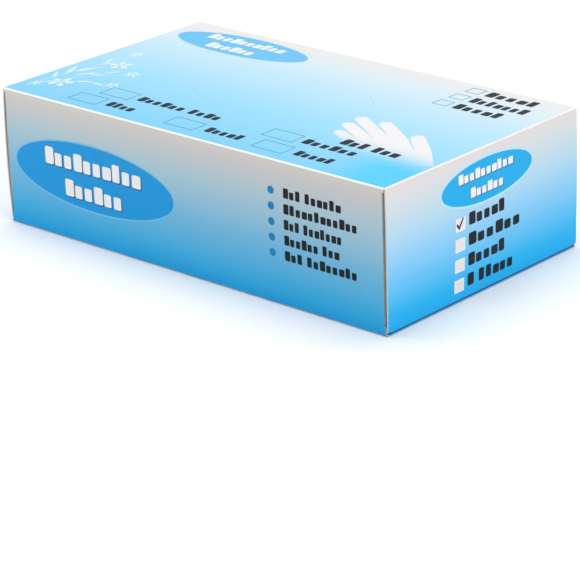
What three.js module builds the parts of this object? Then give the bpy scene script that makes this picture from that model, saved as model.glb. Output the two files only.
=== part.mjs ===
// A dispenser carton for a hundred disposable gloves: a straight-tuck paperboard box whose top has a
// tear-out window, filled with ten layers of folded gloves.
//
// Millimetres, +Z up. The origin is the middle of the carton's footprint. The long side runs along X,
// the front panel faces -Y, and the two tuck ends face -X and +X.
import * as THREE from 'three';

// The closed carton, outside.
const LENGTH = 210;
const WIDTH = 120;
const HEIGHT = 60;

// The board, and the clearance that a crease or a cut leaves between two panels.
const BOARD = 0.5;
const GAP = 0.3;
const FOLD = BOARD + GAP; // how far a folded panel starts from its crease line

// The tear-out window in the top panel: two half circles joined by straight sides.
const WINDOW_LENGTH = 84;
const WINDOW_WIDTH = 44;

// The tuck flap on each closure panel. It leans up from the bottom panel, so it swings out freely.
const TUCK_LENGTH = 14;
const TUCK_WIDTH = 114;
const TUCK_CORNER = 9;
const TUCK_LEAN = THREE.MathUtils.degToRad(11);

// The dust flaps behind each closure. The upper edge falls away as fast as the closure uncovers it.
const DUST_LENGTH = 44;
const DUST_FOOT = 3.2; // lower edge above the tuck flap's crease
const DUST_HEAD = 1.5; // upper edge below the closure's crease
const DUST_UPPER_FALL = 24; // drop of the upper edge from hinge to free end
const DUST_LOWER_RISE = 4;
const DUST_CORNER = 5;

// The glue flap along the back panel's foot.
const GLUE_HEIGHT = 15;
const GLUE_END_INSET = 16;
const GLUE_END_TAPER = 10;

// The layers of gloves. The lowest stops short of the tuck flaps.
const LAYERS = 10;
const LAYER_PITCH = 5.3;
const LAYER_HALF_LENGTH = 101;
const LOWEST_HALF_LENGTH = 89;
const LAYER_HALF_WIDTH = 57;
const LAYER_CORNER = 16;
const LAYER_SHIFT = 0.7; // layers lie a little to one side and the other by turns

const ARC_STEPS = 10; // segments in each rounded corner or half circle

const X_AXIS = new THREE.Vector3(1, 0, 0);
const Y_AXIS = new THREE.Vector3(0, 1, 0);
const Z_AXIS = new THREE.Vector3(0, 0, 1);

const PRINTED_FRONT = { color: 0x7fa9c8, roughness: 0.42, metalness: 0 };
const PRINTED_TOP = { color: 0xbfdcec, roughness: 0.4, metalness: 0 };
const PRINTED_END = { color: 0x9cc6e4, roughness: 0.42, metalness: 0 };
const PLAIN_BOARD = { color: 0xc9c4ba, roughness: 0.85, metalness: 0 };
const BLACK_NITRILE = { color: 0x1b1c1f, roughness: 0.55, metalness: 0 };

const carton = new THREE.Group();

function addMesh(name, geometry, finish, parent = carton) {
  const mesh = new THREE.Mesh(geometry, new THREE.MeshStandardMaterial(finish));
  mesh.name = name;
  parent.add(mesh);
  return mesh;
}

/** A sheet of the given outline, lying in XY with its underside at z = 0. */
function sheet(outline, thickness = BOARD) {
  return new THREE.ExtrudeGeometry(outline, {
    depth: thickness,
    bevelEnabled: false,
    curveSegments: ARC_STEPS,
  });
}

/** A box between two corners, each an [x, y, z]. */
function panelBetween(low, high) {
  const size = high.map((value, axis) => value - low[axis]);
  const geometry = new THREE.BoxGeometry(...size);
  return geometry.translate(...high.map((value, axis) => (value + low[axis]) / 2));
}

/** A stadium about the origin: the window's outline, or its hole. */
function stadium(length, width, path = new THREE.Shape()) {
  const radius = width / 2;
  const reach = length / 2 - radius;
  path.moveTo(-reach, -radius);
  path.lineTo(reach, -radius);
  path.absarc(reach, 0, radius, -Math.PI / 2, Math.PI / 2, false);
  path.lineTo(-reach, radius);
  path.absarc(-reach, 0, radius, Math.PI / 2, Math.PI * 1.5, false);
  return path;
}

/** A rectangle about the origin with rounded corners. */
function roundedRectangle(halfLength, halfWidth, corner) {
  const path = new THREE.Shape();
  const x = halfLength - corner;
  const y = halfWidth - corner;
  path.absarc(x, -y, corner, -Math.PI / 2, 0, false);
  path.absarc(x, y, corner, 0, Math.PI / 2, false);
  path.absarc(-x, y, corner, Math.PI / 2, Math.PI, false);
  path.absarc(-x, -y, corner, Math.PI, Math.PI * 1.5, false);
  path.closePath();
  return path;
}

// --- The tube: top, bottom, front, back and the glue flap. ---

function buildTube() {
  const halfLength = LENGTH / 2 - GAP;
  const halfWidth = WIDTH / 2;
  const sideEnd = LENGTH / 2 - FOLD - GAP; // front and back stop at the dust flaps' creases
  const sideFoot = FOLD;
  const sideHead = HEIGHT - FOLD;

  const topOutline = new THREE.Shape([
    new THREE.Vector2(-halfLength, -halfWidth),
    new THREE.Vector2(halfLength, -halfWidth),
    new THREE.Vector2(halfLength, halfWidth),
    new THREE.Vector2(-halfLength, halfWidth),
  ]);
  topOutline.holes.push(stadium(WINDOW_LENGTH, WINDOW_WIDTH, new THREE.Path()));
  addMesh('top_panel', sheet(topOutline), PRINTED_TOP).position.z = HEIGHT - BOARD;

  addMesh(
    'bottom_panel',
    panelBetween([-halfLength, -halfWidth, 0], [halfLength, halfWidth, BOARD]),
    PRINTED_END,
  );
  addMesh(
    'front_panel',
    panelBetween([-sideEnd, -halfWidth, sideFoot], [sideEnd, BOARD - halfWidth, sideHead]),
    PRINTED_FRONT,
  );
  addMesh(
    'back_panel',
    panelBetween([-sideEnd, halfWidth - BOARD, sideFoot], [sideEnd, halfWidth, sideHead]),
    PRINTED_FRONT,
  );

  // The glue flap stands against the inside of the back panel, its ends cut at a slant.
  const footEnd = LENGTH / 2 - GLUE_END_INSET;
  const headEnd = footEnd - GLUE_END_TAPER;
  const glueOutline = new THREE.Shape([
    new THREE.Vector2(-footEnd, 0),
    new THREE.Vector2(footEnd, 0),
    new THREE.Vector2(headEnd, GLUE_HEIGHT),
    new THREE.Vector2(-headEnd, GLUE_HEIGHT),
  ]);
  const glueFlap = addMesh('glue_flap', sheet(glueOutline), PLAIN_BOARD);
  glueFlap.rotation.x = Math.PI / 2;
  glueFlap.position.set(0, halfWidth - FOLD, FOLD);

  const windowCover = sheet(stadium(WINDOW_LENGTH - 2 * GAP, WINDOW_WIDTH - 2 * GAP));
  addMesh('window_cover', windowCover, PRINTED_TOP).position.z = HEIGHT - BOARD;
}

// --- One tuck end, built at +X. The other end is the same group turned half a turn about Z. ---

/** The closure hangs from the top panel's end crease. */
function closureGeometry() {
  return panelBetween(
    [LENGTH / 2 - BOARD, GAP - WIDTH / 2, FOLD + GAP],
    [LENGTH / 2, WIDTH / 2 - GAP, HEIGHT - FOLD],
  );
}

/** The tuck flap in its own frame: the crease along Y at the origin, the flap reaching to -X. */
function tuckFlapGeometry() {
  const half = TUCK_WIDTH / 2;
  const start = -(FOLD + GAP);
  const cornerX = TUCK_CORNER - TUCK_LENGTH;
  const cornerY = half - TUCK_CORNER;
  const outline = new THREE.Shape();
  outline.moveTo(start, -half);
  outline.lineTo(start, half);
  outline.absarc(cornerX, cornerY, TUCK_CORNER, Math.PI / 2, Math.PI, false);
  outline.absarc(cornerX, -cornerY, TUCK_CORNER, Math.PI, Math.PI * 1.5, false);
  outline.closePath();
  return sheet(outline);
}

/** A dust flap's outline: u runs from the hinge crease to the free end, v is the height. */
function dustOutline() {
  const hingeFoot = FOLD + DUST_FOOT;
  const hingeHead = HEIGHT - FOLD - DUST_HEAD;
  const endFoot = hingeFoot + DUST_LOWER_RISE;
  const endHead = hingeHead - DUST_UPPER_FALL;
  const outline = new THREE.Shape();
  outline.moveTo(FOLD, hingeFoot);
  outline.lineTo(DUST_LENGTH - DUST_CORNER, endFoot);
  outline.quadraticCurveTo(DUST_LENGTH, endFoot, DUST_LENGTH, endFoot + DUST_CORNER);
  outline.lineTo(DUST_LENGTH, endHead - DUST_CORNER);
  outline.quadraticCurveTo(DUST_LENGTH, endHead, DUST_LENGTH - DUST_CORNER, endHead + DUST_CORNER / 2);
  outline.lineTo(FOLD, hingeHead);
  outline.closePath();
  return outline;
}

/** A dust flap standing on its crease line: it reaches to +Y, and its thickness to +X. */
function dustFlapGeometry() {
  const standing = new THREE.Matrix4().makeBasis(Y_AXIS, Z_AXIS, X_AXIS);
  return sheet(dustOutline()).applyMatrix4(standing);
}

function buildTuckEnd(sideName) {
  const end = new THREE.Group();
  carton.add(end);
  // At the left end the group is turned round, so front and back trade places.
  const turned = sideName === 'left';
  end.rotation.z = turned ? Math.PI : 0;

  addMesh(`${sideName}_closure`, closureGeometry(), PRINTED_END, end);

  const tuckFlap = addMesh(`${sideName}_tuck_flap`, tuckFlapGeometry(), PRINTED_END, end);
  tuckFlap.position.set(LENGTH / 2, 0, FOLD);
  tuckFlap.rotation.y = TUCK_LEAN;

  // The two dust flaps face each other across the end, in one plane behind the closure.
  const outerFace = LENGTH / 2 - FOLD;
  const [nearSide, farSide] = turned ? ['back', 'front'] : ['front', 'back'];
  const nearName = `${sideName}_${nearSide}_dust_flap`;
  const farName = `${sideName}_${farSide}_dust_flap`;
  const nearFlap = addMesh(nearName, dustFlapGeometry(), PLAIN_BOARD, end);
  nearFlap.position.set(outerFace - BOARD, -WIDTH / 2, 0);
  const farFlap = addMesh(farName, dustFlapGeometry(), PLAIN_BOARD, end);
  farFlap.position.set(outerFace, WIDTH / 2, 0);
  farFlap.rotation.z = Math.PI;
}

// --- The gloves, ten to a layer, laid flat in the carton. ---

function buildGloveLayers() {
  for (let layer = 0; layer < LAYERS; layer += 1) {
    const halfLength = layer === 0 ? LOWEST_HALF_LENGTH : LAYER_HALF_LENGTH;
    const outline = roundedRectangle(halfLength, LAYER_HALF_WIDTH, LAYER_CORNER);
    const name = `glove_layer_${String(layer + 1).padStart(2, '0')}`;
    const gloves = addMesh(name, sheet(outline, LAYER_PITCH - GAP), BLACK_NITRILE);
    const toSide = layer % 2 === 0 ? 1 : -1;
    gloves.position.set(LAYER_SHIFT * toSide, 0, FOLD + layer * LAYER_PITCH);
  }
}

buildTube();
buildTuckEnd('right');
buildTuckEnd('left');
buildGloveLayers();

export default carton;
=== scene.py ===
"""A closed dispenser carton of disposable gloves: creased and printed folding board, a perforated
window in the top, and a hundred black nitrile gloves inside.

Sizes are in millimetres and angles in degrees, unless a name says otherwise. A shape is drawn flat
on one face of the carton, as (u, v) seen from outside with the origin at that face's lower left
corner, and then laid on the face's slightly bulged board.
"""

import math
import random

import bmesh
import bpy
import numpy as np
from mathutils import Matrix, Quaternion, Vector, noise
from mathutils.geometry import delaunay_2d_cdt


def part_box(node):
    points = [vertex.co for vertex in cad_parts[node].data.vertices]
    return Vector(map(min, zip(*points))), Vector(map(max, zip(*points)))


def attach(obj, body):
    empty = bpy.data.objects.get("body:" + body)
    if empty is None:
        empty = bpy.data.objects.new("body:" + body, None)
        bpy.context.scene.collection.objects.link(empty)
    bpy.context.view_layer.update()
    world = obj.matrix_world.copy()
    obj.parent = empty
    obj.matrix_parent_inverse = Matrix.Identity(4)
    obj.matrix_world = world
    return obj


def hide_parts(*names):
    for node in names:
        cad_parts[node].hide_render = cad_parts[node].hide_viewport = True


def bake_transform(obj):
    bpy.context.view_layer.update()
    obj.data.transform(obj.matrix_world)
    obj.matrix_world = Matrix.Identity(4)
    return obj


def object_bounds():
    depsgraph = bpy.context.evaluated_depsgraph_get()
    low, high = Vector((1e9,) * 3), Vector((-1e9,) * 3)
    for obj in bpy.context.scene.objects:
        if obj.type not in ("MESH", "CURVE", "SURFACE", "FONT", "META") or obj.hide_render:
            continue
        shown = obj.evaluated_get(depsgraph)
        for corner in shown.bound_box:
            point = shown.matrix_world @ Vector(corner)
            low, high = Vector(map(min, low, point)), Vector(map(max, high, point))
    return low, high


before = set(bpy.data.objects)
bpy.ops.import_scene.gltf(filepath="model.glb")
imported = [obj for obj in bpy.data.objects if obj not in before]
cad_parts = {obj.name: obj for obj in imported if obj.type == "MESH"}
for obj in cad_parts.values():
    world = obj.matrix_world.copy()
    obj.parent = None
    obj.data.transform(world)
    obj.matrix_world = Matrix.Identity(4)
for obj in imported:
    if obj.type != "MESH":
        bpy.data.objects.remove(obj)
cad_low, cad_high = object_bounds()

MM = 0.001
LENGTH, WIDTH, HEIGHT = ((cad_high - cad_low) / MM)[:]


def node_box(node):
    """A CAD node's lowest and highest corners, in millimetres."""
    low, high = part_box(node)
    return low / MM, high / MM


BOARD = node_box("bottom_panel")[1].z  # the board's thickness
CREASE = HEIGHT - node_box("front_panel")[1].z  # from a box edge to where its fold begins
WINDOW = node_box("window_cover")
CLOSURE = node_box("right_closure")
TUCK = node_box("right_tuck_flap")
DUST = node_box("right_front_dust_flap")
GLUE = node_box("glue_flap")

BULGE_POWERS = (0.7, 0.8)  # under 1 makes a bulge blunter than a sine wave, along u and along v

# The flaps' outlines, as in the CAD.
TUCK_LEAN = math.radians(11)
TUCK_LENGTH, TUCK_CORNER = 14.0, 9.0
DUST_FALL, DUST_RISE, DUST_CORNER = 24.0, 4.0, 5.0
GLUE_TAPER = 10.0
WINDOW_GAP = 0.3  # the CAD cover's clearance in its hole

# Gaps between boards.
EAR_GAP = 0.3
END_GAP = 0.4  # from a tuck end to where the folds over it stop
FOOT_GAP = 0.12  # and to where the bottom board and its fold stop
BACK_GAP = 0.2  # between the bottom board and the back board
BACK_FOOT = (2 * CREASE - BOARD) / 3  # the back board's foot over the floor
PAINTED_SHADE_REACH = 1.6  # how far in from a tuck end the bottom board's upper side is painted blue: painted shade where it shows under a closure

GRID = 5.0  # spacing of the points over a board
GRID_MARGIN = 0.35  # the share of the spacing that a point keeps from an edge
INK_STEP = 0.03  # ink is a thin raised film, one step up for each pass of the press
INK_FILM = 0.024


# ---------------------------------------------------------------- faces

# The print fades up each face, from blue to the board's white, and on the long sides painted
# shade darkens it too: (share of the face, colour).
END_FADE = [
    (0.0, (34, 176, 241)),
    (0.15, (60, 185, 242)),
    (0.33, (111, 198, 246)),
    (0.5, (150, 209, 247)),
    (0.67, (183, 219, 241)),
    (0.83, (210, 223, 231)),
    (0.93, (224, 223, 225)),
    (0.98, (229, 221, 221)),
]
# Painted shade: the long sides' fade is darker than the ends', up to its white, for the same board.
SIDE_FADE_WITH_SHADE = [
    (0.0, (42, 160, 220)),
    (0.15, (70, 172, 220)),
    (0.42, (118, 182, 218)),
    (0.58, (148, 191, 213)),
    (0.75, (173, 198, 209)),
    (0.85, (192, 199, 203)),
    (0.93, (202, 201, 199)),
    (0.98, (212, 205, 201)),
]
TOP_FADE = [
    (0.0, (140, 214, 252)),
    (0.25, (159, 223, 254)),
    (0.375, (168, 227, 254)),
    (0.5, (183, 231, 254)),
    (0.7, (205, 237, 254)),
    (0.83, (222, 241, 250)),
    (0.97, (240, 240, 240)),
]
BOTTOM_FADE = [(0.0, (226, 234, 240)), (1.0, (240, 240, 238))]

# Each face: its own axes u and v, as seen from outside. How far its middle bulges out, and the
# share of that by which its side edges bow out too: a closure is held only along its top crease and
# its tuck. How much light it gets in this studio, and what its varnish adds to that. Its fade.
FACES = {
    "front": ((1, 0, 0), (0, 0, 1), (0.75, 0.0), (1.02, 0.022), SIDE_FADE_WITH_SHADE),
    "right": ((0, 1, 0), (0, 0, 1), (0.6, 0.6), (1.027, 0.024), END_FADE),
    "back": ((-1, 0, 0), (0, 0, 1), (0.75, 0.0), (0.905, 0.022), SIDE_FADE_WITH_SHADE),
    "left": ((0, -1, 0), (0, 0, 1), (1.3, 0.8), (1.027, 0.024), END_FADE),
    "top": ((1, 0, 0), (0, 1, 0), (0.8, 0.0), (1.08, 0.042), TOP_FADE),
    "bottom": ((1, 0, 0), (0, -1, 0), (0.0, 0.0), (1.0, 0.02), BOTTOM_FADE),
}


class Face:
    """One side of the carton, or a plane sunk under it, with its own u, v and outward axes."""

    def __init__(self, name, sink=0.0):
        u, v, (self.bulge, self.edge_bulge), *_ = FACES[name]
        self.u, self.v = np.array(u, float), np.array(v, float)
        self.out = np.cross(self.u, self.v)
        box = np.array([LENGTH, WIDTH, HEIGHT])
        self.size = np.array([box @ abs(self.u), box @ abs(self.v)])
        middle = np.array([0, 0, HEIGHT / 2])
        self.origin = middle + box / 2 * (self.out - self.u - self.v) - sink * self.out

    def swell(self, flat):
        """How far the board bulges out at these (u, v) points. Nothing at the creases."""
        shape = np.sin(np.pi * np.clip(flat / self.size, 0, 1)) ** BULGE_POWERS
        along = self.edge_bulge + (1 - self.edge_bulge) * shape[:, 0]
        return self.bulge * along * shape[:, 1]

    def place(self, flat, height):
        """(u, v) points at this height over the board's outer side, in the carton's frame."""
        flat = np.asarray(flat, float)
        out = np.asarray(height) + self.swell(flat)
        return self.origin + flat[:, :1] * self.u + flat[:, 1:] * self.v + out[:, None] * self.out


# ---------------------------------------------------------------- flat shapes


def arc(u, v, radius, start, end, steps):
    """Points round a centre, from one angle to another."""
    turns = np.radians(np.linspace(start, end, steps + 1))
    return np.stack([u + radius * np.cos(turns), v + radius * np.sin(turns)], 1)


def ellipse(u, v, half_u, half_v, steps=72):
    turns = np.linspace(0, 2 * np.pi, steps, endpoint=False)
    return np.stack([u + half_u * np.cos(turns), v + half_v * np.sin(turns)], 1)


def circle(u, v, radius, steps=28):
    return ellipse(u, v, radius, radius, steps)


def rectangle(u0, v0, u1, v1):
    return np.array([(u0, v0), (u1, v0), (u1, v1), (u0, v1)], float)


def rounded_rectangle(u0, v0, u1, v1, corner, steps):
    """A rectangle with rounded corners, anticlockwise, with this many steps round each."""
    corner = min(corner, (u1 - u0) / 2, (v1 - v0) / 2)
    centres = rectangle(u0 + corner, v0 + corner, u1 - corner, v1 - corner)[[1, 2, 3, 0]]
    corners = [
        arc(u, v, corner, 90 * quarter - 90, 90 * quarter, steps)
        for quarter, (u, v) in enumerate(centres)
    ]
    return without_repeats(np.concatenate(corners))


def without_repeats(points, least=1e-4):
    """A closed outline with no two neighbouring points alike."""
    kept = []
    for point in points:
        if not kept or math.dist(point, kept[-1]) > least:
            kept.append(point)
    if math.dist(kept[0], kept[-1]) <= least:
        kept.pop()
    return np.array(kept, float)


def edges_of(loops):
    """Every edge of the loops, as its two ends."""
    return [ends for loop in loops for ends in zip(loop, np.roll(loop, -1, axis=0))]


def resampled(loop, spacing):
    """The loop with points added, so that no edge is longer than spacing."""
    points = []
    for start, end in edges_of([loop]):
        pieces = max(1, math.ceil(np.linalg.norm(end - start) / spacing))
        points += [start + (end - start) * i / pieces for i in range(pieces)]
    return np.array(points)


def turned(loop, angle):
    """The loop turned anticlockwise about the origin."""
    c, s = math.cos(math.radians(angle)), math.sin(math.radians(angle))
    return np.asarray(loop, float) @ np.array([[c, s], [-s, c]])


def curve(points, share):
    """Places along the smooth curve that three points steer, at shares of the way from 0 to 1."""
    start, middle, end = (np.array(p, float) for p in points)
    share = share[:, None]
    return start * (1 - share) ** 2 + 2 * middle * share * (1 - share) + end * share**2


def leftward(ahead):
    """Unit directions square to these, to their left."""
    square = np.stack([-ahead[:, 1], ahead[:, 0]], 1)
    return square / np.linalg.norm(square, axis=1)[:, None]


def ribbon(line, half_width):
    """An outline along a line of points, anticlockwise, with a half width at each point."""
    side = leftward(np.gradient(line, axis=0)) * half_width[:, None]
    return np.concatenate([line - side, (line + side)[::-1]])


def inside(points, loops):
    """Which points lie inside the loops, counting a loop within a loop as a hole."""
    found = np.zeros(len(points), bool)
    x, y = points[:, 0], points[:, 1]
    for (x0, y0), (x1, y1) in edges_of(loops):
        crosses = (y0 > y) != (y1 > y)
        rise = y1 - y0 if y1 != y0 else 1.0
        found ^= crosses & (x < (x1 - x0) * (y - y0) / rise + x0)
    return found


def edge_distance(points, loops):
    """How far each point is from the nearest edge of the loops."""
    nearest = np.full(len(points), np.inf)
    for start, end in edges_of(loops):
        along = end - start
        share = np.clip((points - start) @ along / max(along @ along, 1e-12), 0, 1)
        away = np.linalg.norm(points - start - share[:, None] * along, axis=1)
        nearest = np.minimum(nearest, away)
    return nearest


def filled(loops, spacing=GRID):
    """(points, anticlockwise triangles) inside the loops, with points about spacing apart."""
    loops = [resampled(loop, spacing) for loop in loops]
    low, high = loops[0].min(0), loops[0].max(0)
    axes = [np.arange(a + spacing / 2, b, spacing) for a, b in zip(low, high)]
    grid = np.stack(np.meshgrid(*axes), -1).reshape(-1, 2)
    clear = edge_distance(grid, loops) > spacing * GRID_MARGIN
    grid = grid[inside(grid, loops) & clear]
    points, edges = [], []
    for loop in loops:
        first, count = len(points), len(loop)
        points += [Vector(p) for p in loop]
        edges += [(first + i, first + (i + 1) % count) for i in range(count)]
    points += [Vector(p) for p in grid]
    found, _, triangles, *_ = delaunay_2d_cdt(points, edges, [], 0, 1e-7)
    found, triangles = (np.array([row[:] for row in rows]) for rows in (found, triangles))
    triangles = triangles[inside(found[triangles].mean(1), loops)]
    return found, [tuple(t) for t in triangles.tolist()]


# ---------------------------------------------------------------- meshes

OUTER, INNER, CUT, CREST, OUTER_B = range(5)  # material slots of a piece of board


class Solid:
    """Vertices and faces gathered for one piece, in millimetres."""

    def __init__(self):
        self.points, self.faces, self.slots = [], [], []

    def add(self, points, faces, slot=OUTER):
        first = len(self.points)
        self.points += [tuple(p) for p in np.asarray(points, float)]
        self.add_faces([tuple(first + i for i in face) for face in faces], slot)

    def add_faces(self, faces, slot):
        self.faces += faces
        self.slots += [slot] * len(faces)

    def add_slab(self, flat, faces, place, top, bottom):
        """A closed slab: flat points with these faces, from height bottom to height top."""
        first, count = len(self.points), len(flat)
        edges = dict.fromkeys(edge for face in faces for edge in zip(face, face[1:] + face[:1]))
        rim = [(a, b) for a, b in edges if (b, a) not in edges]
        self.add(place(flat, np.full(count, top)), faces)
        self.add(place(flat, np.full(count, bottom)), [face[::-1] for face in faces], INNER)
        sides = [(b, a, a + count, b + count) for a, b in rim]
        self.add_faces([tuple(first + i for i in side) for side in sides], CUT)

    def add_tube(self, rings):
        """A closed tube through rings of points, each anticlockwise about the way ahead."""
        count = len(rings[0])
        last = count * (len(rings) - 1)
        faces = [tuple(reversed(range(count)))]
        for here in range(0, last, count):
            for i in range(count):
                after = (i + 1) % count
                faces.append((here + i, here + after, here + count + after, here + count + i))
        faces.append(tuple(range(last, last + count)))
        self.add(np.concatenate(rings), faces)

    def build(self, name, materials, smooth=35):
        mesh = bpy.data.meshes.new(name)
        mesh.from_pydata([tuple(c * MM for c in p) for p in self.points], [], self.faces)
        for material in materials:
            mesh.materials.append(material)
        last = len(materials) - 1
        mesh.polygons.foreach_set("material_index", [min(s, last) for s in self.slots])
        mesh.shade_smooth()
        mesh.set_sharp_from_angle(angle=math.radians(smooth))
        mesh.update()
        piece = bpy.data.objects.new(name, mesh)
        bpy.context.scene.collection.objects.link(piece)
        return piece


def face_outwards(piece):
    """Turns a closed mesh's faces to point out."""
    mesh = bmesh.new()
    mesh.from_mesh(piece.data)
    bmesh.ops.recalc_face_normals(mesh, faces=mesh.faces)
    mesh.to_mesh(piece.data)
    mesh.free()


def finish_piece(piece, body, slot, *replaced):
    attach(piece, body)
    if replaced:
        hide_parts(*replaced)


# ---------------------------------------------------------------- materials


def linear(colour):
    """An 8-bit sRGB colour as linear RGBA."""
    shares = [c / 255 for c in colour]
    return tuple(
        s / 12.92 if s <= 0.04045 else ((s + 0.055) / 1.055) ** 2.4 for s in shares
    ) + (1.0,)


WHITEST, DARKEST = 0.93, 0.003


def printed(colour, face):
    """The ink that looks like this 8-bit colour under the light that the face gets."""
    *_, (light, shine), _ = FACES[face]
    shares = ((c - shine) / light for c in linear(colour)[:3])
    return tuple(min(max(share, DARKEST), WHITEST) for share in shares) + (1.0,)


FADE_DRIFT = 0.03  # how far the fade wanders over a face, as a share of it

# A pool of deeper blue in the top's near right corner: its colour, and where it starts and is full.
POOL_COLOUR = (104, 212, 253)
POOL_X = (66.0, 93.0)
POOL_Y = (-29.0, -44.0)


class Shader:
    """A material's nodes, with short calls for the ones used here."""

    def __init__(self, name):
        self.material = bpy.data.materials.new(name)
        self.material.use_nodes = True
        self.nodes = self.material.node_tree.nodes
        self.surface = self.nodes["Principled BSDF"]
        self.where = self.nodes.new("ShaderNodeTexCoord").outputs["Object"]

    def put(self, socket, value):
        """Sets a constant on the socket, or links a node's output to it."""
        if isinstance(value, bpy.types.NodeSocket):
            self.material.node_tree.links.new(value, socket)
        else:
            socket.default_value = value

    def node(self, kind, inputs, output=0, **settings):
        made = self.nodes.new("ShaderNode" + kind)
        for key, value in settings.items():
            setattr(made, key, value)
        for key, value in inputs.items():
            self.put(made.inputs[key], value)
        return made.outputs[output]

    def maths(self, operation, a, b=0.0, c=0.0, clamp=False):
        return self.node("Math", {0: a, 1: b, 2: c}, operation=operation, use_clamp=clamp)

    def place(self, axis):
        """The object coordinate along one axis, in metres."""
        return self.node("SeparateXYZ", {0: self.where}, output="XYZ".index(axis))

    def remap(self, value, low, high, to_low=0.0, to_high=1.0, smooth=False):
        inputs = dict(enumerate((value, low, high, to_low, to_high)))
        kind = "SMOOTHSTEP" if smooth else "LINEAR"
        return self.node("MapRange", inputs, interpolation_type=kind)

    def between(self, axis, low, high, smooth=True):
        """From 0 to 1 between two places along an axis, in millimetres."""
        return self.remap(self.place(axis), low * MM, high * MM, smooth=smooth)

    def noise(self, size, detail=3.0, roughness=0.55, stretch=(1, 1, 1)):
        """Noise whose features are about size millimetres across."""
        vector = self.node("Mapping", {"Vector": self.where, "Scale": stretch})
        scale = 1 / (size * MM)
        inputs = {"Vector": vector, "Scale": scale, "Detail": detail, "Roughness": roughness}
        return self.node("TexNoise", inputs)

    def ramp(self, value, stops, ink=linear):
        """A colour ramp. Its stops are 8-bit colours, which ink turns into linear ones."""
        colour = self.node("ValToRGB", {0: value})
        elements = colour.node.color_ramp.elements
        while len(elements) < len(stops):
            elements.new(0.5)
        for element, (position, stop) in zip(elements, stops):
            element.position, element.color = position, ink(stop)
        return colour

    def mix(self, share, a, b):
        return self.node("Mix", {0: share, 6: a, 7: b}, output=2, data_type="RGBA")

    def bump(self, height, depth, strength):
        """A bump whose height runs over depth millimetres."""
        return self.node("Bump", {"Height": height, "Distance": depth * MM, "Strength": strength})

    def set(self, **values):
        """Sets the surface's sockets, each by its name in lower case."""
        for key, value in values.items():
            name = key.replace("_", " ").title().replace("Ior", "IOR")
            self.put(self.surface.inputs[name], value)


def print_ground(shader, face):
    """The faded ground colour that every ink of a face is printed over."""
    level = face in ("top", "bottom")
    span = ("Y", -WIDTH / 2, WIDTH / 2) if level else ("Z", 0.0, HEIGHT)
    share = shader.between(*span, smooth=False)
    drift = shader.maths("MULTIPLY_ADD", shader.noise(70, 1.0), FADE_DRIFT, -FADE_DRIFT / 2)
    uneven = shader.maths("ADD", share, drift, clamp=True)
    *_, fade = FACES[face]
    ground = shader.ramp(uneven, fade, lambda colour: printed(colour, face))
    if face != "top":
        return ground
    pool = shader.maths("MULTIPLY", shader.between("X", *POOL_X), shader.between("Y", *POOL_Y))
    return shader.mix(pool, ground, printed(POOL_COLOUR, face))


def coat(shader, roughness):
    """The varnish: a smooth film over board that isn't quite flat."""
    fibres, mottle = shader.noise(0.5, 4.0, 0.6), shader.noise(5.0, 2.0)
    height = shader.maths("MULTIPLY_ADD", fibres, 0.25, mottle)
    shader.set(
        roughness=shader.remap(mottle, 0.3, 0.7, roughness - 0.05, roughness + 0.07),
        normal=shader.bump(height, depth=0.03, strength=0.6),
        coat_weight=0.03,
        coat_roughness=0.22,
        specular_ior_level=0.1,
    )


def ground_material(face):
    """The printed ground, with a few pale specks where the board shows through."""
    shader = Shader(f"printed_{face}")
    ground = print_ground(shader, face)
    specks = shader.remap(shader.noise(1.1, 2.0), 0.62, 0.8, 0.0, 0.05)
    shader.set(base_color=shader.mix(specks, ground, printed((240, 240, 238), face)))
    coat(shader, 0.36)
    return shader.material


def ink_material(name, face, colour, cover=1.0, fade=None):
    """Ink over the ground. cover is how much of the ground it hides, and fade thins it out
    along an axis between two places in millimetres."""
    shader = Shader(name)
    ground = print_ground(shader, face)
    hide = shader.remap(shader.noise(1.4, 2.0), 0.3, 0.75, cover * 0.97, cover)
    if fade:
        hide = shader.maths("MULTIPLY", hide, shader.between(*fade))
    shader.set(base_color=shader.mix(hide, ground, printed(colour, face)))
    coat(shader, 0.33)
    return shader.material


def plain_board_material(name, inked=None):
    """The uncoated inside of the board: grey with darker and lighter fibres. The second argument,
    if given, is a blue painted over its ends along X: painted shade where they show under a
    closure."""
    shader = Shader(name)
    fibres = shader.noise(0.7, 5.0, 0.7, stretch=(1, 0.35, 1))
    greys = [(0.25, (172, 166, 156)), (0.5, (196, 191, 182)), (0.8, (212, 208, 200))]
    colour = shader.ramp(fibres, greys)
    cloud = shader.remap(shader.noise(14, 3.0), 0.35, 0.7, 0.0, 0.25)
    colour = shader.mix(cloud, colour, linear((186, 178, 164)))
    if inked:
        along = shader.maths("ABSOLUTE", shader.place("X"))
        bare, full = LENGTH / 2 - PAINTED_SHADE_REACH, LENGTH / 2 - PAINTED_SHADE_REACH / 2
        colour = shader.mix(shader.remap(along, bare * MM, full * MM), colour, linear(inked))
    normal = shader.bump(fibres, depth=0.06, strength=0.7)
    shader.set(base_color=colour, roughness=0.88, specular_ior_level=0.25, normal=normal)
    return shader.material


def cut_edge_material():
    """The raw cut edge: pale, with the plies showing as streaks."""
    shader = Shader("board_cut_edge")
    fibres = shader.noise(0.35, 4.0, 0.7)
    greys = [(0.3, (176, 170, 160)), (0.55, (214, 210, 203)), (0.8, (232, 230, 226))]
    colour = shader.ramp(fibres, greys)
    normal = shader.bump(fibres, depth=0.08, strength=0.8)
    shader.set(base_color=colour, roughness=0.92, specular_ior_level=0.2, normal=normal)
    return shader.material


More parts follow.
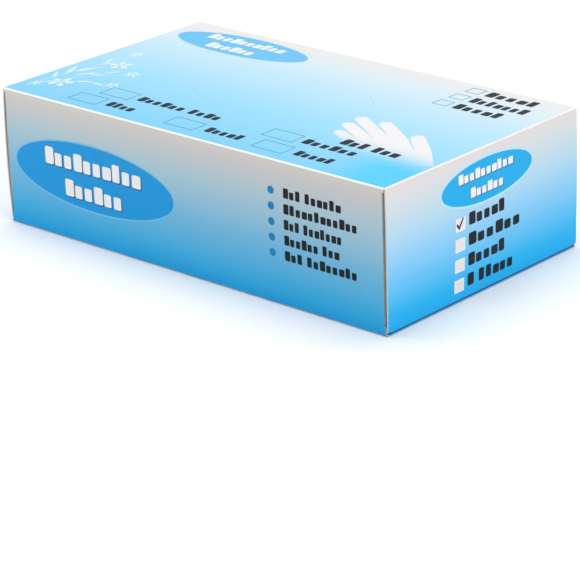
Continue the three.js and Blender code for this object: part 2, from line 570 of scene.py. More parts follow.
def crease_material(name, colour, worn, wear):
    """A fold where the varnish and ink have cracked. wear is how much shows from under them."""
    shader = Shader(name)
    cracks = shader.noise(0.8, 4.0, 0.75)
    patches = shader.remap(shader.noise(9.0, 3.0), 0.35, 0.65, -0.4, 0.3)
    shown = shader.maths("ADD", shader.remap(cracks, 0.35, 0.65), patches)
    share = shader.maths("MULTIPLY", shader.maths("ADD", shown, 0.2, clamp=True), wear)
    normal = shader.bump(cracks, depth=0.05, strength=0.7)
    colour = shader.mix(share, linear(colour), linear(worn))
    shader.set(base_color=colour, roughness=0.55, normal=normal)
    return shader.material


NITRILE_BLACKS = (linear((26, 26, 29)), linear((42, 42, 46)))


def nitrile_material():
    """Thin black nitrile: matte, with a fine grained skin."""
    shader = Shader("black_nitrile")
    grain, cloud = shader.noise(0.35, 3.0, 0.6), shader.noise(16, 3.0)
    creases = shader.noise(3.2, 5.0, 0.7, stretch=(0.5, 1.3, 1))
    height = shader.maths("MULTIPLY_ADD", grain, 0.12, creases)
    shader.set(
        base_color=shader.mix(shader.remap(cloud, 0.3, 0.7), *NITRILE_BLACKS),
        roughness=shader.remap(grain, 0.3, 0.7, 0.36, 0.5),
        normal=shader.bump(height, depth=0.35, strength=0.55),
        specular_ior_level=0.6,
        sheen_weight=0.2,
    )
    return shader.material


GROUND = {face: ground_material(face) for face in FACES}
INSIDE = plain_board_material("board_inside")
EDGE = cut_edge_material()
NITRILE = nitrile_material()


# ---------------------------------------------------------------- board


def add_board(name, face, loops, body, slot, node, sink=0.0, materials=None):
    """A flat piece of board with its outer side on the face, or sunk under it. Its materials are
    for its outer side, its inner side and its cut edges."""
    solid = Solid()
    loops = [np.asarray(loop, float) for loop in loops]
    solid.add_slab(*filled(loops), Face(face, sink).place, 0.0, -BOARD)
    piece = solid.build(name, materials or [GROUND[face], INSIDE, EDGE])
    finish_piece(piece, body, slot, node)


def window_outline():
    """The window's hole in the top face's (u, v): two half circles joined by straight sides."""
    low, high = (np.array(corner.xy) + (LENGTH / 2, WIDTH / 2) for corner in WINDOW)
    low, high = low - WINDOW_GAP, high + WINDOW_GAP
    return rounded_rectangle(*low, *high, (high[1] - low[1]) / 2, 15)


PERFORATION_CUT, PERFORATION_NICK = 4.4, 0.9  # lengths
PERFORATION_KERF = 0.07  # width of a cut


def perforated(loop):
    """The loop pulled in by the kerf along each cut, and left where a nick still holds it."""
    fine = resampled(loop, PERFORATION_NICK / 3)
    steps = np.linalg.norm(np.roll(fine, -1, axis=0) - fine, axis=1)
    along = np.concatenate([[0], np.cumsum(steps)[:-1]])
    pitch = PERFORATION_CUT + PERFORATION_NICK
    share = (along / steps.sum() * round(steps.sum() / pitch)) % 1
    kerf = np.where(share > PERFORATION_CUT / pitch, 0.0, PERFORATION_KERF)
    ahead = np.roll(fine, -1, axis=0) - np.roll(fine, 1, axis=0)
    return fine + leftward(ahead) * kerf[:, None]


def side_outline(foot):
    """A long side's board. Above and below each dust flap's crease it reaches out as an ear."""
    inner, outer = 2 * CREASE, CREASE
    low, high = DUST[0].z - EAR_GAP, DUST[1].z + EAR_GAP
    left = [(outer, HEIGHT - CREASE), (outer, high), (inner, high), (inner, low), (outer, low)]
    left.append((outer, foot))
    right = [(LENGTH - u, v) for u, v in reversed(left)]
    return np.array(right + left)


def make_tube():
    """The four panels round the gloves, the window's cover and the glue flap."""
    hole = window_outline()
    top = [rectangle(CREASE, CREASE, LENGTH - CREASE, WIDTH - CREASE), hole]
    cover = [perforated(hole)]
    add_board("top_board", "top", top, "carton", "printed_top", "top_panel")
    add_board("window_tear_out", "top", cover, "window_cover", "printed_top", "window_cover")
    for side, foot in (("front", CREASE), ("back", BACK_FOOT)):
        outline = side_outline(foot)
        add_board(f"{side}_board", side, [outline], "carton", "printed_side", f"{side}_panel")

    bottom = [rectangle(FOOT_GAP, BOARD + BACK_GAP, LENGTH - FOOT_GAP, WIDTH - CREASE)]
    # The bottom board's cut edge is blue, not raw board: painted shade where it shows under a
    # closure.
    inked = crease_material("board_inked_edge", (62, 160, 212), (150, 196, 220), 0.5)
    # Its upper side is painted blue near each end: painted shade where it shows under a closure.
    inside_painted_shade = plain_board_material("board_inside_bottom", (48, 150, 206))
    materials, finish = [GROUND["bottom"], inside_painted_shade, inked], ("carton", "printed_end")
    add_board("bottom_board", "bottom", bottom, *finish, "bottom_panel", materials=materials)

    low, high = GLUE
    start, end = LENGTH / 2 - high.x, LENGTH / 2 - low.x
    glued = [(start, low.z), (end, low.z), (end - GLUE_TAPER, high.z), (start + GLUE_TAPER, high.z)]
    finish, sink = ("carton", "plain_board"), WIDTH / 2 - high.y
    add_board("glue_flap_board", "back", [glued], *finish, "glue_flap", sink)


# The outside of a fold, from board a round to board b. The ink has cracked on the crest.
FOLD_SLOTS = [OUTER] * 2 + [CREST] * 8 + [OUTER_B] * 2
FOLD_PIECES = 24  # along the fold


def add_fold(name, corner, into_a, into_b, line, outsides, slot, body_a, body_b=None):
    """The rounded fold between two boards that meet at a corner. into_a and into_b are unit
    directions from the corner into the boards. line is the axis along the fold, with its two ends.
    outsides are the materials on board a's side, on the crest and on board b's side. Without body
    b the fold rides on a; with it the fold stays where it is built, on no body."""
    corner, a, b = (np.array(p, float) for p in (corner, into_a, into_b))
    axis, start, end = line
    half = math.acos(np.clip(a @ b, -1, 1)) / 2
    centre = corner + (a + b) / np.linalg.norm(a + b) * CREASE / math.cos(half)
    radius, bend = CREASE * math.tan(half), math.pi - 2 * half
    out_a = (corner + a * CREASE - centre) / radius

    def place(flat, height):
        turn, along = flat.T
        out = np.outer(np.cos(turn), out_a) - np.outer(np.sin(turn), a)
        points = centre + out * (radius + height)[:, None]
        points[:, axis] = along
        return points

    turns = np.linspace(0, bend, len(FOLD_SLOTS) + 1)
    grid = np.meshgrid(turns, np.linspace(start, end, FOLD_PIECES + 1))
    flat, row = np.stack(grid, -1).reshape(-1, 2), len(turns)
    faces = [(k, k + 1, k + row + 1, k + row) for k in range(row * FOLD_PIECES) if (k + 1) % row]
    solid = Solid()
    solid.add_slab(flat, faces, place, 0.0, -BOARD)
    solid.slots[: len(faces)] = FOLD_SLOTS * FOLD_PIECES
    side_a, crest, side_b = outsides
    piece = solid.build(name, [side_a, INSIDE, EDGE, crest, side_b])
    face_outwards(piece)
    if body_b is None:
        finish_piece(piece, body_a, slot)
    else:
        ends = np.array([(0, corner[axis]), (bend, corner[axis])])
        inner_a, inner_b = place(ends, np.full(2, -BOARD)) * MM
        tuple(inner_a)
        tuple(inner_b)
        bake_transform(piece)


def make_folds():
    """The folds between panels: fixed ones along the tube, and ones at both tuck ends, left in
    place on no body.
    """
    x, y = LENGTH / 2, WIDTH / 2
    up, down = (0, 0, 1), (0, 0, -1)
    bright = crease_material("crease_bright", (229, 235, 238), (241, 244, 243), 1.0)
    soft = crease_material("crease_soft", (232, 226, 226), (246, 243, 243), 0.7)
    blue = crease_material("crease_blue", (30, 140, 205), (150, 200, 228), 0.35)
    # The dust flaps' folds are a dark grey blue with a little wear: painted shade for the gap
    # between a long side and a closure, where they show.
    worn = crease_material("crease_dust", (78, 108, 124), (160, 168, 170), 0.3)
    fixed = [
        ("top_front", (0, -y, HEIGHT), (0, 1, 0), down, x - END_GAP, ("top", bright, "front")),
        ("top_back", (0, y, HEIGHT), (0, -1, 0), down, x - END_GAP, ("top", soft, "back")),
        ("bottom_front", (0, -y, 0), (0, 1, 0), up, x - FOOT_GAP, ("bottom", blue, "front")),
    ]
    for name, corner, into_a, into_b, reach, (face_a, crest, face_b) in fixed:
        line, outsides = (0, -reach, reach), (GROUND[face_a], crest, GROUND[face_b])
        finish = ("printed_side", "carton")
        add_fold(f"fold_{name}", corner, into_a, into_b, line, outsides, *finish)

    for side, way in (("right", 1), ("left", -1)):
        closure, inward, ground = f"{side}_closure", (-way, 0, 0), GROUND[side]
        corner, line = (way * x, 0, HEIGHT), (1, CLOSURE[0].y, CLOSURE[1].y)
        outsides, finish = (GROUND["top"], soft, ground), ("printed_end", "carton", closure)
        add_fold(f"{closure}_fold", corner, inward, down, line, outsides, *finish)

        corner, line = (way * x, 0, CREASE), (1, TUCK[0].y, TUCK[1].y)
        into_flap = (-way * math.cos(TUCK_LEAN), 0, math.sin(TUCK_LEAN))
        outsides, finish = (ground, blue, ground), ("printed_end", closure, f"{side}_tuck_flap")
        add_fold(f"{side}_tuck_fold", corner, up, into_flap, line, outsides, *finish)

        for edge, toward in (("front", -1), ("back", 1)):
            name = f"{side}_{edge}_dust"
            corner, line = (way * (x - CREASE), toward * y, 0), (2, DUST[0].z, DUST[1].z)
            outsides = (GROUND[edge], worn, INSIDE)
            finish = ("printed_side", "carton", f"{name}_flap")
            add_fold(f"{name}_fold", corner, inward, (0, -toward, 0), line, outsides, *finish)


def dust_outline():
    """A dust flap's outline: how far from the hinge, and the height."""
    low, high = DUST
    reach = high.y + WIDTH / 2
    end_low, end_high, corner = low.z + DUST_RISE, high.z - DUST_FALL, DUST_CORNER
    points = [(CREASE, low.z), (reach - corner, end_low)]
    points += [(reach - corner * 0.3, end_low + corner * 0.3), (reach, end_low + corner)]
    points += [(reach, end_high - corner * 0.7), (reach - corner * 0.25, end_high)]
    points += [(reach - corner, end_high + corner / 2), (CREASE, high.z)]
    return np.array(points)


def tuck_outline():
    """A tuck flap's outline: how far in from the crease, and along the crease."""
    half = (TUCK[1].y - TUCK[0].y) / 2
    reach, side = TUCK_LENGTH - TUCK_CORNER, half - TUCK_CORNER
    near, far = arc(reach, -side, TUCK_CORNER, -90, 0, 8), arc(reach, side, TUCK_CORNER, 0, 90, 8)
    return np.concatenate([[(CREASE, -half)], near, far, [(CREASE, half)]])


def make_tuck_end(side, way):
    """A closure, its tuck flap and the two dust flaps behind it."""
    margin = WIDTH / 2 - CLOSURE[1].y
    outline = rectangle(margin, 2 * CREASE, WIDTH - margin, HEIGHT - CREASE)
    closure = f"{side}_closure"
    add_board(f"{closure}_board", side, [outline], closure, "printed_end", closure)

    crease = np.array([way * LENGTH / 2, 0, CREASE])
    cos, sin = math.cos(TUCK_LEAN), math.sin(TUCK_LEAN)
    inward, across, under = (-way * cos, 0, sin), (0, 1, 0), (-way * sin, 0, -cos)

    def place_tuck(flat, height):
        return crease + np.column_stack([flat, height]) @ np.array([inward, across, under])

    solid = Solid()
    solid.add_slab(*filled([tuck_outline()]), place_tuck, 0.0, -BOARD)
    piece = solid.build(f"{side}_tuck_board", [GROUND[side], INSIDE, EDGE])
    face_outwards(piece)
    finish_piece(piece, f"{side}_tuck_flap", "printed_end", f"{side}_tuck_flap")

    for edge, toward in (("front", -1), ("back", 1)):
        outline = dust_outline()
        # On the right end u runs from front to back, on the left end from back to front.
        if toward == way:
            outline = (outline * (-1, 1) + (WIDTH, 0))[::-1]
        name = f"{side}_{edge}_dust"
        flap, materials = f"{name}_flap", [INSIDE, INSIDE, EDGE]
        add_board(f"{name}_board", side, [outline], flap, "plain_board", flap, CREASE, materials)


# ---------------------------------------------------------------- print

WORD_GAP = 0.55  # as a share of the pitch of the blocks
SHORT_BLOCK = 0.74  # as a share of the height of a tall one
WIDE_BLOCK = 0.14  # what every third block is wider by, as a share of the pitch
BLOCK_CORNER = 0.18  # as a share of the block's width


def block_words(u0, u1, v, height, words, weight):
    """A line of plain blocks that stands in for words: one block for each letter, tall or short
    by turns, from u0 to u1 with its foot at v. weight is a block's width over the pitch."""
    pitch = (u1 - u0) / (sum(words) + (len(words) - 1) * WORD_GAP)
    shapes = []
    u = u0
    for index, count in enumerate(words):
        for letter in range(count):
            tall = letter == 0 or (letter * 5 + index * 3 + count) % 4 == 1
            top = v + (height if tall else height * SHORT_BLOCK)
            wide = pitch * (weight if (letter + index) % 3 else weight + WIDE_BLOCK)
            shapes.append([rounded_rectangle(u, v, u + wide, top, wide * BLOCK_CORNER, 2)])
            u += pitch
        u += pitch * WORD_GAP
    return shapes


def frame_box(u, v, size_u, size_v, line):
    """An empty box drawn with a line, by its lower left corner."""
    outer = rectangle(u, v, u + size_u, v + size_v)
    inner = rectangle(u + line, v + line, u + size_u - line, v + size_v - line)
    return [outer, inner[::-1]]


# A label is an oval field with a pale rim and two lines of blocks. Here are the oval's middle and
# half sizes, the rim's width, and each line's start, end, foot, height and blocks in each word.
LABELS = {
    "side": (
        (52.7, 29.9, 46.6, 14.2),
        0.7,
        [(24.5, 81.7, 31.7, 7.6, [10]), (35.8, 70.3, 19.7, 7.5, [6])],
    ),
    "top": (
        (43.3, 101.5, 36.5, 11.8),
        0.6,
        [(20.5, 65.0, 103.0, 6.6, [10]), (28.7, 56.2, 92.6, 6.6, [6])],
    ),
    "end": (
        (61.2, 46.8, 28.3, 8.7),
        0.95,
        [(43.3, 77.8, 48.5, 4.1, [10]), (50.6, 71.6, 41.4, 4.1, [6])],
    ),
}
SHADE_SHIFT = (0.5, -0.45)
LABEL_WEIGHT, SIDE_WEIGHT, END_WEIGHT, TOP_WEIGHT = 0.74, 0.7, 0.72, 0.66


class Print:
    """The print on one face. Its pieces ride on one body. Each ink is what ink_material takes
    after the face."""

    def __init__(self, face, body, slot, **inks):
        self.face, self.body, self.slot = face, body, slot
        self.inks = {
            name: ink_material(f"{face}_{name}_ink", face, *ink) for name, ink in inks.items()
        }

    def lay(self, name, shapes, ink, layer):
        """Shapes as one piece: a thin film on the face's board. A shape is a list of loops."""
        board, solid = Face(self.face), Solid()
        for loops in shapes:
            loops = [np.asarray(loop, float) for loop in loops]
            small = np.ptp(loops[0], axis=0).max() < GRID * 1.5
            if len(loops) == 1 and small:
                flat, faces = loops[0], [tuple(range(len(loops[0])))]
            else:
                flat, faces = filled(loops)
            solid.add_slab(flat, faces, board.place, INK_STEP * layer, INK_STEP * layer - INK_FILM)
        piece = solid.build(f"{self.face}_{name}", [self.inks[ink]])
        finish_piece(piece, self.body, self.slot)

    def lay_label(self, kind):
        """A label: a pale rim, a coloured field, and white blocks with a soft dark edge."""
        (u, v, half_u, half_v), rim, lines = LABELS[kind]
        self.lay("label_rim", [[ellipse(u, v, half_u + rim, half_v + rim)]], "rim", 1)
        self.lay("label_field", [[ellipse(u, v, half_u, half_v)]], "field", 2)
        marks = [shape for line in lines for shape in block_words(*line, LABEL_WEIGHT)]
        if "shade" in self.inks:
            shade = [[loop + SHADE_SHIFT for loop in loops] for loops in marks]
            self.lay("label_shade", shade, "shade", 3)
        self.lay("label_marks", marks, "white", 4)


BULLET = (152.5, 1.65)  # u, radius
SIDE_LINE = (159.0, 2.0, 4.1)  # start, foot under the middle, height of the blocks
SIDE_FIRST, SIDE_PITCH = 47.3, 6.45  # middle of the first line, and down to the next
SIDE_ROWS = [(188.8, [3, 6]), (196.8, [12]), (188.9, [3, 7]), (187.5, [6, 3]), (196.3, [3, 8])]


def print_side(face):
    """The long sides: a label at the left, and five short bulleted lines at the right."""
    side = Print(
        face,
        "carton",
        "printed_side",
        rim=[(122, 190, 226)],
        field=[(26, 151, 216)],
        shade=[(20, 84, 130)],
        white=[(234, 235, 236)],
        dark=[(16, 18, 28)],
        bullet=[(40, 130, 182)],
    )
    side.lay_label("side")
    words, bullets = [], []
    start, drop, height = SIDE_LINE
    for row, (end, counts) in enumerate(SIDE_ROWS):
        middle = SIDE_FIRST - SIDE_PITCH * row
        words += block_words(start, end, middle - drop, height, counts, SIDE_WEIGHT)
        bullets.append([circle(BULLET[0], middle, BULLET[1])])
    side.lay("lines", words, "dark", 1)
    side.lay("bullets", bullets, "bullet", 1)


SIZE_BOX = (41.1, 29.9, 5.9, 5.3)  # u, v, width and height of the first one
SIZE_BOX_LINE = 0.5
SIZE_STEP = (-0.3, -8.4)  # to the next one
SIZE_LINE = (49.3, 30.7, 5.2)  # start, foot and height of the blocks beside it
SIZE_ROWS = [(72.8, [5]), (82.7, [6]), (72.8, [5]), (78.0, [1, 5])]
TICK = [(43.2, 30.5), (46.0, 34.9), (45.4, 35.3), (43.1, 32.0), (42.1, 33.4), (41.4, 32.8)]


def print_end(face):
    """The ends: a label over four size boxes, the first one ticked."""
    end = Print(
        face,
        f"{face}_closure",
        "printed_end",
        rim=[(190, 232, 250)],
        field=[(42, 176, 236)],
        shade=[(22, 98, 152)],
        white=[(240, 242, 244)],
        box=[(236, 231, 232)],
        box_line=[(248, 244, 246)],
        dark=[(10, 24, 48)],
    )
    end.lay_label("end")
    words, fields, frames = [], [], []
    (box_u, box_v, size_u, size_v), (start, foot, height) = SIZE_BOX, SIZE_LINE
    for row, (stop, counts) in enumerate(SIZE_ROWS):
        du, dv = SIZE_STEP[0] * row, SIZE_STEP[1] * row
        u, v = box_u + du, box_v + dv
        fields.append([rectangle(u, v, u + size_u, v + size_v)])
        frames.append(frame_box(u, v, size_u, size_v, SIZE_BOX_LINE))
        words += block_words(start + du, stop, foot + dv, height, counts, END_WEIGHT)
    end.lay("size_boxes", fields, "box", 1)
    end.lay("size_box_lines", frames, "box_line", 2)
    end.lay("tick", [[TICK]], "dark", 3)
    end.lay("lines", words, "dark", 1)


def leaf(u, v, angle, length, width):
    """A pointed leaf with its stalk end at (u, v)."""
    share = np.linspace(0, 1, 9)
    line = np.column_stack([0 * share, length * share])
    outline = ribbon(line, width / 2 * np.sin(np.pi * share**0.8))
    return turned(without_repeats(outline), angle) + (u, v)


def stem(points, width=0.55):
    """A thin line along the smooth curve that three points steer, narrowing to its end."""
    share = np.linspace(0, 1, 21)
    return ribbon(curve(points, share), width / 2 * (1.15 - share))


def blossom(u, v, size, turn, petals=5):
    """Round petals about a small round middle."""
    shapes = [[circle(u, v, size * 0.2, 12)]]
    for petal in range(petals):
        outline = ellipse(size * 0.66, 0, size * 0.36, size * 0.25, 16)
        shapes.append([turned(outline, turn + petal * 360 / petals) + (u, v)])
    return shapes


# The spray's stems by three points each, its leaves by foot, lean and length, and its blossoms by
# middle, size and turn.
STEMS = [
    ((6, 8), (9, 36), (13.5, 64)),
    ((7, 12), (16, 30), (32, 43)),
    ((8, 14), (20, 26), (36, 28)),
    ((8, 30), (12, 42), (19, 48)),
]
LEAVES = [(9.0, 28, 22, 13), (9.4, 33, -24, 12), (8.0, 22, 34, 9), (13, 30, -40, 10)]
LEAVES += [(17, 34, -72, 9), (22, 38, -34, 8), (11.6, 50, 20, 8), (11, 46, -30, 9)]
LEAVES += [(20, 23.5, -58, 8), (27, 26.5, -96, 8)]
LEAF_WIDTH = 0.17  # as a share of its length
BLOSSOMS = [(15.5, 19.5, 5.6, 20), (19.8, 50.5, 5.2, 50), (7.6, 12.6, 2.7, 0)]
BLOSSOMS += [(33.6, 44.2, 3.4, 30), (37.0, 28.4, 3.0, 10), (13.8, 66.3, 3.3, 0)]


def sprig_shapes():
    """A spray of plain stems, long leaves and small round-petalled blossoms."""
    shapes = [[stem(points)] for points in STEMS]
    shapes += [[leaf(u, v, lean, size, size * LEAF_WIDTH)] for u, v, lean, size in LEAVES]
    for place in BLOSSOMS:
        shapes += blossom(*place)
    return shapes


# The pictured glove, fingers up, before it is turned: each finger's foot, lean, length and radius.
PICTURED_FINGERS = [
    (12.4, -4.0, -3, 20.0, 3.2),
    (6.2, 11.5, 6, 23.5, 3.1),
    (-0.4, 15.5, 9, 28.0, 3.1),
    (-6.4, 14.5, 12, 23.5, 3.0),
    (-11.0, 10.0, 15, 20.0, 2.7),
]
PICTURED_TAPER = 0.92  # a finger's tip, as a share of its foot
PICTURED_WRIST = [(-11.5, -16.0), (13.2, -20.5)]
PICTURED_PLACE, PICTURED_TURN = (185.0, 33.0), 50


def finger(base_u, base_v, angle, length, radius):
    """The two sides and round tip of one glove finger, from its right side to its left."""
    tip, middle = radius * PICTURED_TAPER, length - radius
    round_tip = arc(0, middle, tip, 12, 168, 7)
    points = [(radius, 0), (tip, middle), *round_tip, (-tip, middle), (-radius, 0)]
    return turned(points, angle) + (base_u, base_v)


def pictured_glove():
    """A plain white glove reaching in from the corner, its palm cut off where it fades out."""
    points = np.concatenate([PICTURED_WRIST, *(finger(*place) for place in PICTURED_FINGERS)])
    return turned(without_repeats(points), PICTURED_TURN) + PICTURED_PLACE


# Boxes with a line of blocks after each: the box's corner, then the blocks' start, end and counts.
TOP_ROWS = [
    (40.0, 18.0, 59.7, 106.0, [6, 4]),
    (131.0, 18.0, 150.3, 178.3, [6]),
    (33.3, 6.0, 53.3, 68.7, [4]),
    (88.8, 6.0, 109.2, 129.2, [5]),
    (136.5, 6.0, 156.7, 176.2, [5]),
]
ROW_BOX = (16.2, 8.8)  # width, height
ROW_LINE = (1.9, 5.2)  # the blocks' foot over the box's, and their height
KIND_ROWS = [(197.5, [5]), (199.6, [7]), (194.7, [5])]
KIND_BOX = (161.2, 108.7, 7.2, 6.4)  # u, v, width and height of the first one
KIND_STEP = (-0.4, -10.1)
KIND_LINE = (10.1, 6.3)  # the blocks' start past the box's corner, and their height
COUNT_LINE = (163.0, 192.3, 28.0, 6.0, [3, 3])
TOP_BOX_LINE = 0.42


def print_top():
    """The top: a pale label, a spray of blossoms, rows of empty boxes and a fading glove."""
    top = Print(
        "top",
        "carton",
        "printed_top",
        rim=[(160, 214, 250)],
        field=[(116, 202, 251)],
        white=[(246, 250, 252)],
        sprig=[(240, 251, 255), 0.85],
        line=[(88, 142, 166), 0.9],
        dark=[(48, 58, 68)],
        glove=[(248, 245, 246), 0.98, ("Y", -37.0, -19.0)],
    )
    top.lay_label("top")
    top.lay("sprig", sprig_shapes(), "sprig", 1)
    outlines, words = [], []
    for u, v, start, end, counts in TOP_ROWS:
        outlines.append(frame_box(u, v, *ROW_BOX, TOP_BOX_LINE))
        words += block_words(start, end, v + ROW_LINE[0], ROW_LINE[1], counts, TOP_WEIGHT)
    for row, (end, counts) in enumerate(KIND_ROWS):
        u, v = KIND_BOX[0] + KIND_STEP[0] * row, KIND_BOX[1] + KIND_STEP[1] * row
        outlines.append(frame_box(u, v, *KIND_BOX[2:], TOP_BOX_LINE))
        words += block_words(u + KIND_LINE[0], end, v, KIND_LINE[1], counts, TOP_WEIGHT)
    top.lay("boxes", outlines, "line", 1)
    top.lay("lines", words, "dark", 2)
    top.lay("glove", [[pictured_glove()]], "glove", 1)
    top.lay("count", block_words(*COUNT_LINE, SIDE_WEIGHT), "dark", 2)


# ---------------------------------------------------------------- gloves

GLOVE_LAYERS = 10
GLOVES_PER_LAYER = 10
GLOVES_UNDER_TOP = 4  # slabs in the top layer, under the two gloves that show
GLOVE_FILL = 0.8  # a slab's thickness, as a share of the pitch of the slabs
# A slab's rounded edge, as (up, in) shares of its thickness, and the waves round its outline, whose
# depth is a share of its size.
SLAB_PROFILE = ((0.0, 0.35), (0.3, 0.0), (0.7, 0.0), (1.0, 0.35))
SLAB_WAVES, SLAB_WAVE_DEPTH = (5, 9, 14, 23), 0.012
WAVE_DEPTH = 15.0  # the waves through the stack die out over this height above its foot


def settle(x, y, level):
    """The slow waves that run through the whole stack of gloves."""
    waves = 0.5 * np.sin(x / 23 + 0.8) + 0.45 * np.sin(y / 17 - x / 61)
    waves += 0.3 * np.sin(x / 9.5 + y / 13)
    return waves * min(level / WAVE_DEPTH, 1.0)


def stack_of_gloves(solid, node, count, draw):
    """Folded gloves one on another, from the foot of the node's box up, each a thin slab with a
    soft uneven outline. Gives the stack's height."""
    low, high = node_box(node)
    pitch = (high.z - low.z) / GLOVES_PER_LAYER
    thickness = pitch * GLOVE_FILL
    for foot in (low.z + glove * pitch for glove in range(count)):
        shorter, narrower = draw.uniform(0.3, 5.0), draw.uniform(0.3, 3.0)
        middle_x = (low.x + high.x) / 2 + draw.uniform(-0.6, 0.6) * min(shorter, 1.0)
        half_x, half_y = (high.x - low.x) / 2 - shorter, (high.y - low.y) / 2 - narrower
        corner = draw.uniform(10, 22)
        outline = resampled(rounded_rectangle(-half_x, -half_y, half_x, half_y, corner, 5), 7)
        turn = np.arctan2(outline[:, 1], outline[:, 0])
        ripple = sum(
            draw.uniform(0.1, 0.5) * np.sin(turn * waves + draw.uniform(0, 6.28))
            for waves in SLAB_WAVES
        )
        outline *= 1 - np.abs(ripple)[:, None] * SLAB_WAVE_DEPTH
        rings = []
        for height, pull in SLAB_PROFILE:
            x, y = (outline * (1 - pull * thickness / half_y)).T
            x = x + middle_x
            rings.append(np.stack([x, y, foot + height * thickness + settle(x, y, foot)], 1))
        solid.add_tube(rings)
    return low.z + count * pitch


# A glove laid flat with its fingers and thumb turned back over the palm, in its own frame: x runs
# from the cuff to the fold of the fingers. A finger is its middle at the fold, its length, its half
# width and its sway.
PALM_EDGE = [(0, 43), (22, 40.5), (50, 41.5), (85, 45), (125, 46.5), (146, 44)]
PALM_END = 160.0
FINGERS = [
    (-33.5, 72, 10.4, -3.0),
    (-11.5, 80, 10.8, 1.0),
    (10.8, 75, 10.4, -1.5),
    (32.0, 58, 9.2, 3.0),
]
FINGER_ROOT = 148.0
FINGER_TAPER = 0.14
THUMB_LINE = ((80, -38), (88, -18), (108, 4))
THUMB_HALF_WIDTH = 10.5
THUMB_SLOPE = 6.0  # how far beside the thumb the fingers over it come down to the palm
CUFF_INSET = 1.5  # from the layer's end
FILM = 0.42  # a flattened finger or palm
FILM_GRID = 1.6
FILM_EDGE = 2.2  # how far in from an edge the film rounds up to its thickness
FILM_GAP = 0.07
BEAD_RADIUS = 0.6
GLOVE_GAP = 0.1  # from the slabs to the glove underneath
GLOVE_STEP = 2.0  # from the glove underneath to the top one
PALM_RISE, THUMB_RISE, FINGER_RISE = 0.45, 0.5, 0.6  # how high the wrinkles stand


def wrinkles(points, seed):
    """Folds of thin film, from 0 to about 2: slow swells, sharp creases and a fine crumple."""
    heights = []
    for x, y in points:
        swell = noise.noise(Vector((x * 0.03, y * 0.045, seed)))
        warp = noise.noise(Vector((x * 0.02, y * 0.025, seed + 9.1))) * 2.4
        long_way = noise.noise(Vector((x * 0.10 + warp, y * 0.035 - warp, seed + 3.7)))
        cross_way = noise.noise(Vector((x * 0.05 - warp, y * 0.12 + warp, seed + 6.2)))
        crumple = noise.noise(Vector((x * 0.35, y * 0.3, seed + 5.3)))
        creases = 0.9 * max(1 - 2.2 * abs(long_way), 0) ** 3
        creases += 0.55 * max(1 - 2.4 * abs(cross_way), 0) ** 3
        heights.append(0.3 + 0.5 * swell + creases + 0.12 * crumple)
    return np.array(heights)


def round_end(distance, reach):
    """A finger's width near its end, as a share of its full width."""
    return np.sqrt(1 - np.clip(1 - distance / reach, 0, 1) ** 2 * 0.96)


def finger_outline(line, half_width, root_rounding=8.0):
    """A flattened finger along a curve, from its fold to its round tip."""
    share = (1 - np.cos(np.linspace(0, np.pi, 33))) / 2
    centre = curve(line, share)
    length = np.linalg.norm(np.diff(centre, axis=0), axis=1).sum()
    width = half_width * (1 - FINGER_TAPER * share) * round_end(share * length, root_rounding)
    width *= round_end((1 - share) * length, half_width * 0.95)
    return without_repeats(ribbon(centre, width), 0.05)


def palm_outline():
    """The palm and cuff, with a round end for each finger's root."""
    lower = [(x, -y) for x, y in PALM_EDGE]
    reach = PALM_END - FINGER_ROOT
    ends = [
        arc(0, 0, 1, -80, 80, 8) * (reach, half_width) + (FINGER_ROOT, middle)
        for middle, _, half_width, _ in FINGERS
    ]
    return without_repeats(np.concatenate([lower, *ends, PALM_EDGE[::-1]]), 0.05)


def lay_film(solid, outline, to_carton, ground, seed, rise):
    """One flattened part of a glove on the ground under it, with soft edges and wrinkles. ground
    gives the height under a point of the carton, and rise is how high the wrinkles stand."""

    def place(points, share):
        where = to_carton(points)
        away = np.clip(edge_distance(points, [outline]) / FILM_EDGE, 0, 1)
        crown = np.sqrt(away * (2 - away))
        body = FILM * (0.35 + 0.65 * crown) + rise * crown * wrinkles(points, seed)
        return np.column_stack([where, ground(where) + share * body])

    solid.add_slab(*filled([outline], FILM_GRID), place, 1.0, 0.0)


def lay_bead(solid, to_carton, ground):
    """The rolled edge of the cuff: a thin tube across its end."""
    half = PALM_EDGE[0][1]
    across = np.linspace(-half, half, 61)
    middle = 0.5 * np.sin(across / 9.0) - BEAD_RADIUS * 0.4
    height = ground(to_carton(np.column_stack([middle, across]))) + FILM * 0.5
    bead = circle(0, 0, BEAD_RADIUS, 10)
    rings = []
    for x, y, z in zip(middle, across, height):
        flat = np.column_stack([x + bead[:, 0], np.full(len(bead), y)])
        rings.append(np.column_stack([to_carton(flat), z - bead[:, 1]]))
    solid.add_tube(rings)


def lay_glove(solid, way, foot, seed):
    """A whole glove with its cuff at the -X end for way 1, or at the +X end for way -1."""
    cuff = (node_box("glove_layer_10")[0].x + CUFF_INSET, 0)

    def to_carton(own):
        return way * (own + cuff)

    def to_own(where):
        return way * where - cuff

    def base(where):
        return foot + settle(where[:, 0], where[:, 1], foot)

    def on_palm(where):
        return base(where) + FILM + FILM_GAP + PALM_RISE * wrinkles(to_own(where), seed)

    thumb = finger_outline(THUMB_LINE, THUMB_HALF_WIDTH)

    def on_thumb(where):
        own = to_own(where)
        beside = edge_distance(own, [thumb]) * np.where(inside(own, [thumb]), -1, 1)
        return on_palm(where) + (FILM + THUMB_RISE) * np.clip(1 - beside / THUMB_SLOPE, 0, 1)

    lay_film(solid, palm_outline(), to_carton, base, seed, PALM_RISE)
    lay_bead(solid, to_carton, base)
    lay_film(solid, thumb, to_carton, on_palm, seed + 20, THUMB_RISE)
    for index, (middle, length, half_width, sway) in enumerate(FINGERS):
        half_way, tip = (PALM_END - length / 2, middle), (PALM_END - length, middle + sway)
        outline = finger_outline(((PALM_END, middle), half_way, tip), half_width)
        lay_film(solid, outline, to_carton, on_thumb, seed + 30 + index, FINGER_RISE)


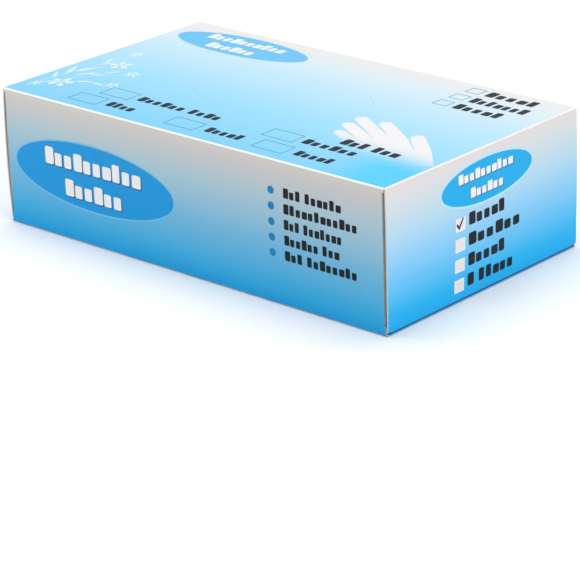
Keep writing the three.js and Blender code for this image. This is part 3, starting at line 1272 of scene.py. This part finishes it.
def make_gloves():
    draw = random.Random(7)
    for layer in range(1, GLOVE_LAYERS + 1):
        node = f"glove_layer_{layer:02d}"
        solid = Solid()
        if layer < GLOVE_LAYERS:
            stack_of_gloves(solid, node, GLOVES_PER_LAYER, draw)
        else:
            foot = stack_of_gloves(solid, node, GLOVES_UNDER_TOP, draw) + GLOVE_GAP
            lay_glove(solid, -1, foot, 3.0)
            lay_glove(solid, 1, foot + GLOVE_STEP, 71.0)
        piece = solid.build(f"gloves_{layer:02d}", [NITRILE], smooth=70)
        finish_piece(piece, "carton", "black_nitrile", node)


# ---------------------------------------------------------------- studio

CAMERA_AZIMUTH, CAMERA_ELEVATION, CAMERA_ROLL = 42.75, 21.99, -2.07
CAMERA_DISTANCE = 1.126  # in metres, as is the rest of the studio
CAMERA_TARGET = Vector((0.0, 0.0, -0.0257))
CAMERA_LENS = 165.2
WORLD_LIGHT = 0.55
LAMPS = [
    # name, place, target, size, power
    ("key", (1.3, -0.3, 1.0), (0, 0, 0.03), 1.0, 8.5),
    ("overhead", (-0.2, 0.2, 1.6), (0, 0, 0.03), 1.6, 13),
    ("fill", (-0.75, -0.6, 0.3), (-0.05, 0, 0.03), 0.4, 2.2),
]
FLOOR_REACH, FLOOR_DEPTH = 4.0, 0.0002


def add_object(name, data, place=(0, 0, 0), toward=None):
    """A new object that looks along toward, as a camera or a lamp does."""
    made = bpy.data.objects.new(name, data)
    made.location = place
    if toward:
        made.rotation_mode = "QUATERNION"
        made.rotation_quaternion = toward.to_track_quat("-Z", "Y")
    bpy.context.scene.collection.objects.link(made)
    return made


def add_camera():
    azimuth, elevation = math.radians(CAMERA_AZIMUTH), math.radians(CAMERA_ELEVATION)
    east, south = math.sin(azimuth), math.cos(azimuth)
    level = math.cos(elevation)
    back = Vector((east * level, -south * level, math.sin(elevation)))
    data = bpy.data.cameras.new("camera")
    data.lens, data.sensor_width, data.clip_end = CAMERA_LENS, 36, 20
    camera = add_object("camera", data, CAMERA_TARGET + back * CAMERA_DISTANCE, -back)
    camera.rotation_quaternion @= Quaternion((0, 0, 1), math.radians(CAMERA_ROLL))
    bpy.context.scene.camera = camera


def add_studio():
    world = bpy.data.worlds.new("studio")
    world.use_nodes = True
    background = world.node_tree.nodes["Background"]
    background.inputs["Color"].default_value = (1, 1, 1, 1)
    background.inputs["Strength"].default_value = WORLD_LIGHT
    bpy.context.scene.world = world
    bpy.context.scene.view_settings.view_transform = "Standard"
    for name, place, target, size, power in LAMPS:
        lamp = bpy.data.lights.new(name, "AREA")
        lamp.shape, lamp.size, lamp.energy = "DISK", size, power
        add_object(name, lamp, place, Vector(target) - Vector(place))

    floor = bpy.data.meshes.new("floor")
    square = rectangle(-FLOOR_REACH, -FLOOR_REACH, FLOOR_REACH, FLOOR_REACH)
    floor.from_pydata([(x, y, -FLOOR_DEPTH) for x, y in square], [], [(0, 1, 2, 3)])
    shader = Shader("pale_floor")
    shader.set(base_color=(0.95, 0.95, 0.95, 1), roughness=0.8)
    floor.materials.append(shader.material)
    add_object("floor", floor)


add_camera()
add_studio()
make_tube()
make_folds()
make_tuck_end("right", 1)
make_tuck_end("left", -1)
for long_side in ("front", "back"):
    print_side(long_side)
for end_side in ("right", "left"):
    print_end(end_side)
print_top()
make_gloves()
